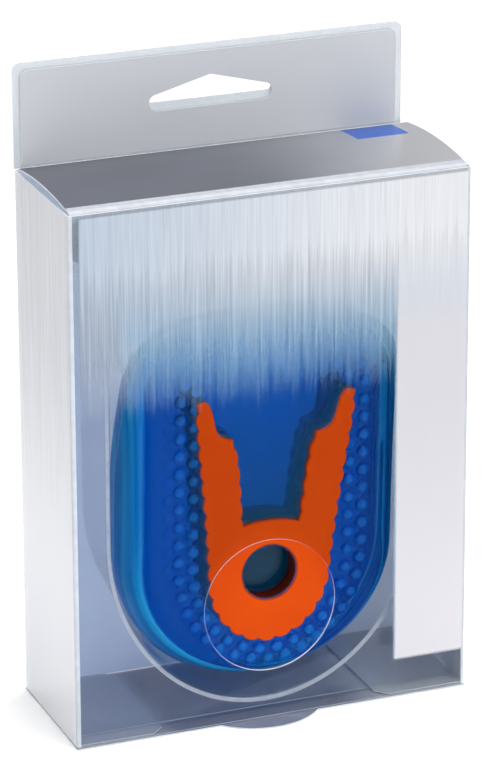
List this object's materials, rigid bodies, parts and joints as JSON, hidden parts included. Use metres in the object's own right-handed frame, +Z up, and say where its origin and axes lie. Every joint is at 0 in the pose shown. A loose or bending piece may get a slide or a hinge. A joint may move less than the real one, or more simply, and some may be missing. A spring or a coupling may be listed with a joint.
{
  "type": "pair of heel cups in a clear hanging carton",
  "caption": "Blue gel heel cups with orange shock pads, nested in a clear pocket tray inside a clear carton with a hang tab, a touch hole and a hinged lid.",
  "frame": {"origin": "centre of the carton's footprint, on the underside of the bottom panel", "axes": "+Z up, front of the carton towards -Y, +X across the carton to the right as seen from the front"},
  "size_m": [0.105, 0.0458, 0.1663],
  "materials": {
    "clear_sheet": "clear glossy PET sheet, printed silver over its upper half",
    "silver_sheet": "PET sheet printed satin silver",
    "formed_sheet": "clear thermoformed PET",
    "blue_gel": "glossy see-through blue gel",
    "orange_pad": "satin moulded elastomer"
  },
  "bodies": {
    "carton": {"carton_sleeve": "clear_sheet", "carton_bottom": "clear_sheet", "bottom_flap_left": "clear_sheet", "bottom_flap_right": "clear_sheet", "hang_tab_back": "clear_sheet", "hang_tab_front": "silver_sheet", "inner_tray": "formed_sheet", "heel_cup_front": "blue_gel", "heel_cup_rear": "blue_gel", "shock_pad_front": "orange_pad", "shock_pad_rear": "orange_pad"},
    "lid": {"lid": "silver_sheet"}
  },
  "joints": [
    {"name": "lid_hinge", "type": "hinge", "parent": "carton", "child": "lid", "pos_m": [0, 0.0182, 0.1398], "axis": [-1, 0, 0], "range_deg": [0, 85]}
  ]
}
